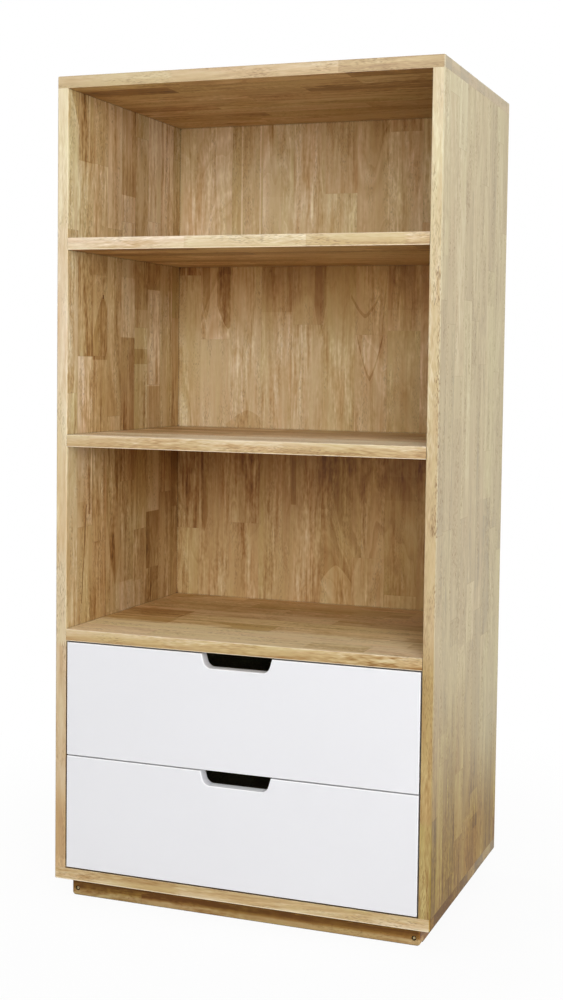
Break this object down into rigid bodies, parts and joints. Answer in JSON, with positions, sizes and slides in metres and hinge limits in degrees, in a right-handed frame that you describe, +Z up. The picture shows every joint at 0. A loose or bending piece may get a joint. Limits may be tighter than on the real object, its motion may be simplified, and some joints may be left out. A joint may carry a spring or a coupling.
{
  "type": "bookcase with bottom drawers",
  "caption": "Free-standing bookcase of finger-jointed solid wood with open bays over inset white drawers on ball-bearing runners, on a recessed plinth.",
  "frame": {"origin": "on the floor, under the middle of the carcass", "axes": "+Z up, -Y out of the open front, +X to the right seen from the front"},
  "size_m": [0.6, 0.39, 1.25],
  "materials": {
    "rubberwood": "finger-jointed boards under a clear satin lacquer",
    "rubberwood_veneer": "veneered panel under a clear satin lacquer",
    "plinth_rubberwood": "solid board under a clear satin lacquer",
    "dowel_beech": "raw turned wood",
    "white_lacquer": "white satin lacquer on board, with eased arrises",
    "drawer_wood": "sanded solid wood, thin clear coat",
    "drawer_plywood": "thin plywood, thin clear coat",
    "zinc_plate": "bright zinc-plated steel"
  },
  "bodies": {
    "carcass": {"top_panel": "rubberwood", "bottom_panel": "rubberwood", "left_side_panel": "rubberwood", "right_side_panel": "rubberwood", "upper_shelf": "rubberwood", "middle_shelf": "rubberwood", "drawer_divider": "rubberwood", "back_panel": "rubberwood_veneer", "plinth_front_board": "plinth_rubberwood", "plinth_back_board": "plinth_rubberwood", "plinth_left_board": "plinth_rubberwood", "plinth_right_board": "plinth_rubberwood", "plinth_front_left_screw": "zinc_plate", "plinth_front_right_screw": "zinc_plate", "plinth_back_left_screw": "zinc_plate", "plinth_back_right_screw": "zinc_plate", "top_panel_left_front_dowel": "dowel_beech", "top_panel_left_back_dowel": "dowel_beech", "top_panel_right_front_dowel": "dowel_beech", "top_panel_right_back_dowel": "dowel_beech", "bottom_panel_left_front_dowel": "dowel_beech", "bottom_panel_left_back_dowel": "dowel_beech", "bottom_panel_right_front_dowel": "dowel_beech", "bottom_panel_right_back_dowel": "dowel_beech", "upper_shelf_left_front_dowel": "dowel_beech", "upper_shelf_left_back_dowel": "dowel_beech", "upper_shelf_right_front_dowel": "dowel_beech", "upper_shelf_right_back_dowel": "dowel_beech", "middle_shelf_left_front_dowel": "dowel_beech", "middle_shelf_left_back_dowel": "dowel_beech", "middle_shelf_right_front_dowel": "dowel_beech", "middle_shelf_right_back_dowel": "dowel_beech", "drawer_divider_left_front_dowel": "dowel_beech", "drawer_divider_left_back_dowel": "dowel_beech", "drawer_divider_right_front_dowel": "dowel_beech", "drawer_divider_right_back_dowel": "dowel_beech", "upper_left_runner_cabinet_member": "zinc_plate", "upper_right_runner_cabinet_member": "zinc_plate", "lower_left_runner_cabinet_member": "zinc_plate", "lower_right_runner_cabinet_member": "zinc_plate"},
    "upper_drawer": {"upper_drawer_front": "white_lacquer", "upper_drawer_left_side": "drawer_wood", "upper_drawer_right_side": "drawer_wood", "upper_drawer_back": "drawer_wood", "upper_drawer_bottom": "drawer_plywood", "upper_left_runner_drawer_member": "zinc_plate", "upper_right_runner_drawer_member": "zinc_plate"},
    "lower_drawer": {"lower_drawer_front": "white_lacquer", "lower_drawer_left_side": "drawer_wood", "lower_drawer_right_side": "drawer_wood", "lower_drawer_back": "drawer_wood", "lower_drawer_bottom": "drawer_plywood", "lower_left_runner_drawer_member": "zinc_plate", "lower_right_runner_drawer_member": "zinc_plate"},
    "upper_left_runner_slide": {"upper_left_runner_middle_member": "zinc_plate"},
    "upper_right_runner_slide": {"upper_right_runner_middle_member": "zinc_plate"},
    "lower_left_runner_slide": {"lower_left_runner_middle_member": "zinc_plate"},
    "lower_right_runner_slide": {"lower_right_runner_middle_member": "zinc_plate"}
  },
  "joints": [
    {"name": "upper_drawer_slide", "type": "slide", "parent": "carcass", "child": "upper_drawer", "axis": [0, -1, 0], "range_m": [0, 0.35]},
    {"name": "lower_drawer_slide", "type": "slide", "parent": "carcass", "child": "lower_drawer", "axis": [0, -1, 0], "range_m": [0, 0.35]},
    {"name": "upper_left_runner_travel", "type": "slide", "parent": "carcass", "child": "upper_left_runner_slide", "axis": [0, -1, 0], "range_m": [0, 0.175]},
    {"name": "upper_right_runner_travel", "type": "slide", "parent": "carcass", "child": "upper_right_runner_slide", "axis": [0, -1, 0], "range_m": [0, 0.175]},
    {"name": "lower_left_runner_travel", "type": "slide", "parent": "carcass", "child": "lower_left_runner_slide", "axis": [0, -1, 0], "range_m": [0, 0.175]},
    {"name": "lower_right_runner_travel", "type": "slide", "parent": "carcass", "child": "lower_right_runner_slide", "axis": [0, -1, 0], "range_m": [0, 0.175]}
  ],
  "couplings": [
    {"joint": "upper_left_runner_travel", "follows": "upper_drawer_slide", "ratio": 0.5},
    {"joint": "upper_right_runner_travel", "follows": "upper_drawer_slide", "ratio": 0.5},
    {"joint": "lower_left_runner_travel", "follows": "lower_drawer_slide", "ratio": 0.5},
    {"joint": "lower_right_runner_travel", "follows": "lower_drawer_slide", "ratio": 0.5}
  ]
}
